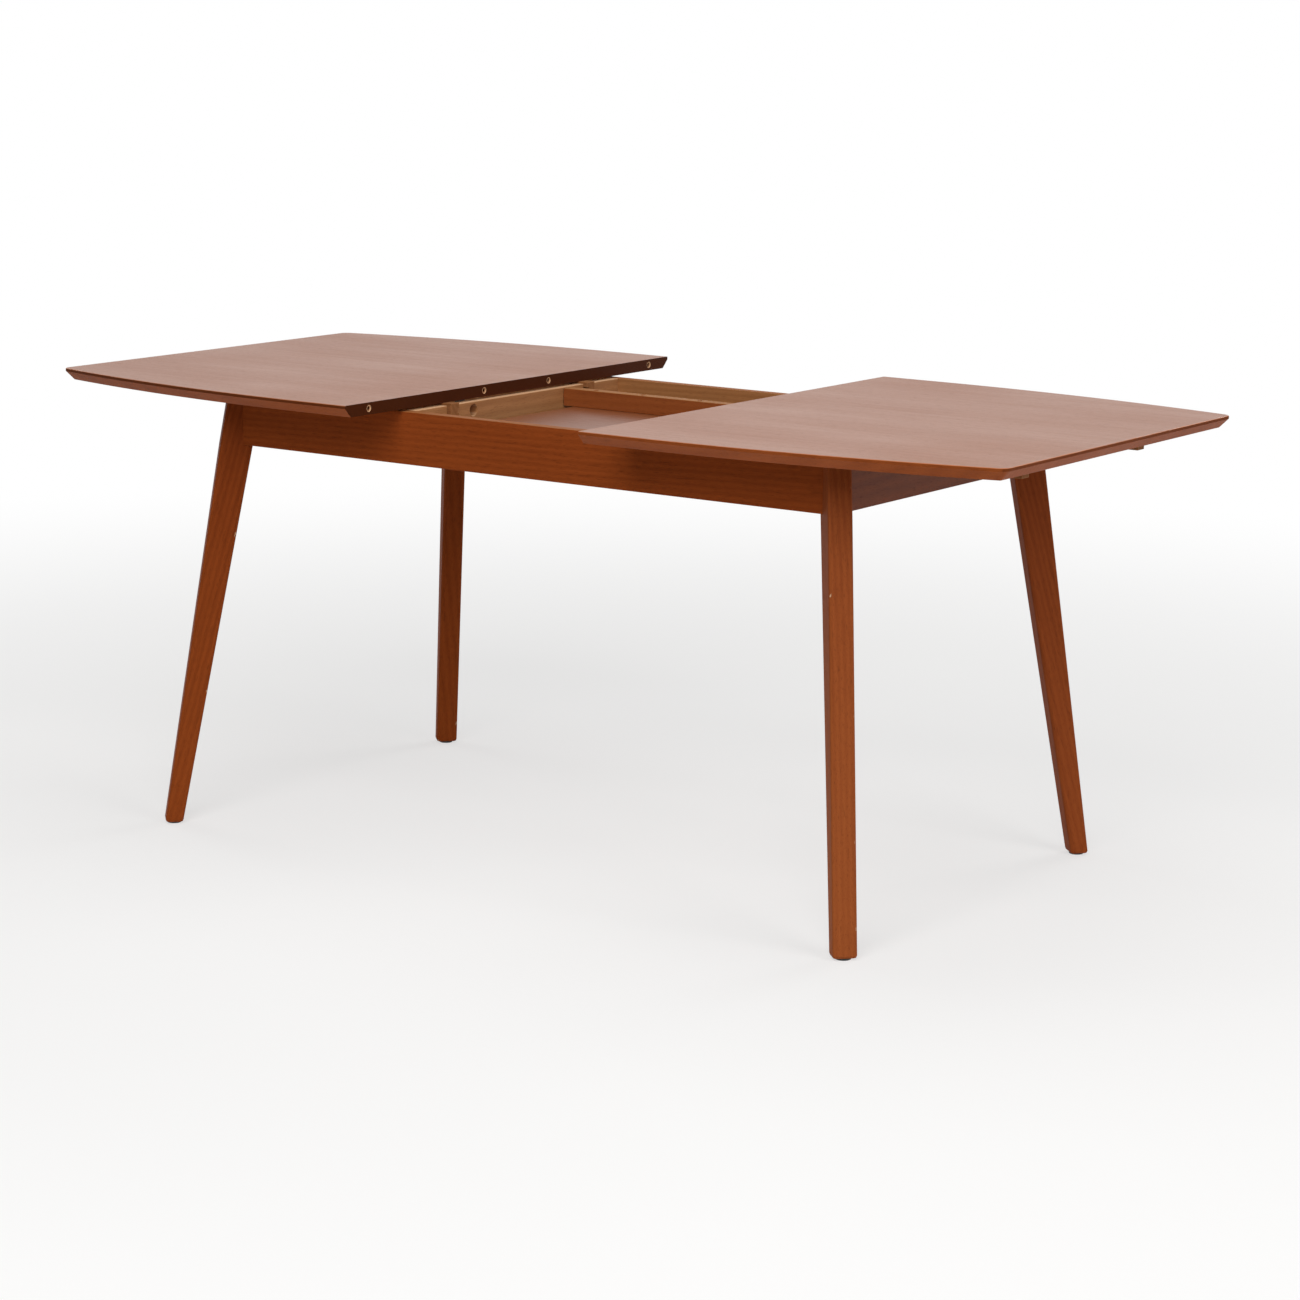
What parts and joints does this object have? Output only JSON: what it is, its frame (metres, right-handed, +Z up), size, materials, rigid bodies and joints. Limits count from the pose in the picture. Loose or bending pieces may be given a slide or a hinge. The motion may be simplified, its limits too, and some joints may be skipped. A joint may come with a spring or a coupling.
{
  "type": "butterfly leaf table",
  "caption": "Boat-shaped dining table on splayed tapered legs; its top slides apart on runners over a self-storing leaf that flips up on a pivoting batten and unfolds flat.",
  "frame": {"origin": "on the floor under the middle of the table", "axes": "+X along the table's length and the slide, +Z up, front at -Y"},
  "size_m": [1.792, 0.898, 0.75],
  "materials": {
    "top_wood": "stained, satin lacquer",
    "frame_wood": "stained, satin lacquer",
    "raw_wood": "unfinished, sanded",
    "steel": "zinc plated or blackened",
    "brass": "satin",
    "glide": "matt"
  },
  "bodies": {
    "base": {"front_apron": "frame_wood", "back_apron": "frame_wood", "left_end_apron": "frame_wood", "right_end_apron": "frame_wood", "leg_front_left": "frame_wood", "corner_block_front_left": "raw_wood", "leg_front_right": "frame_wood", "corner_block_front_right": "raw_wood", "leg_back_right": "frame_wood", "corner_block_back_right": "raw_wood", "leg_back_left": "frame_wood", "corner_block_back_left": "raw_wood", "hanger_bolts": "steel", "bolt_washers": "steel", "bolt_nuts": "steel", "foot_glides": "glide", "left_cross_rail": "raw_wood", "right_cross_rail": "raw_wood", "left_front_guide": "raw_wood", "left_back_guide": "raw_wood", "right_front_guide": "raw_wood", "right_back_guide": "raw_wood", "leaf_stop_pegs": "raw_wood"},
    "left_top": {"left_top": "top_wood", "left_front_runner": "raw_wood", "left_back_runner": "raw_wood", "left_runner_screws": "steel", "left_runner_stops": "raw_wood"},
    "right_top": {"right_top": "top_wood", "right_front_runner": "raw_wood", "right_back_runner": "raw_wood", "right_runner_screws": "steel", "right_runner_stops": "raw_wood", "right_top_pins": "raw_wood"},
    "leaf_upper": {"leaf_upper_half": "top_wood", "leaf_upper_pins": "raw_wood", "hinge_upper_plates": "brass", "hinge_upper_pins": "brass", "leaf_batten": "raw_wood", "batten_screws": "steel"},
    "hinge_link": {"hinge_links": "brass"},
    "leaf_lower": {"leaf_lower_half": "top_wood", "leaf_lower_pins": "raw_wood", "hinge_lower_plates": "brass", "hinge_lower_pins": "brass"}
  },
  "joints": [
    {"name": "left_top_slide", "type": "slide", "parent": "base", "child": "left_top", "axis": [-1, 0, 0], "range_m": [-0.22185, 0]},
    {"name": "right_top_slide", "type": "slide", "parent": "base", "child": "right_top", "axis": [1, 0, 0], "range_m": [-0.22185, 0]},
    {"name": "leaf_flip", "type": "hinge", "parent": "base", "child": "leaf_upper", "pos_m": [0, 0.13075, 0.713], "axis": [-1, 0, 0], "range_deg": [0, 180]},
    {"name": "fold_upper_pin", "type": "hinge", "parent": "leaf_upper", "child": "hinge_link", "pos_m": [0, 0.2565, 0.68], "axis": [1, 0, 0], "range_deg": [0, 90]},
    {"name": "fold_lower_pin", "type": "hinge", "parent": "hinge_link", "child": "leaf_lower", "pos_m": [0, 0.2565, 0.67], "axis": [1, 0, 0], "range_deg": [0, 90]}
  ]
}
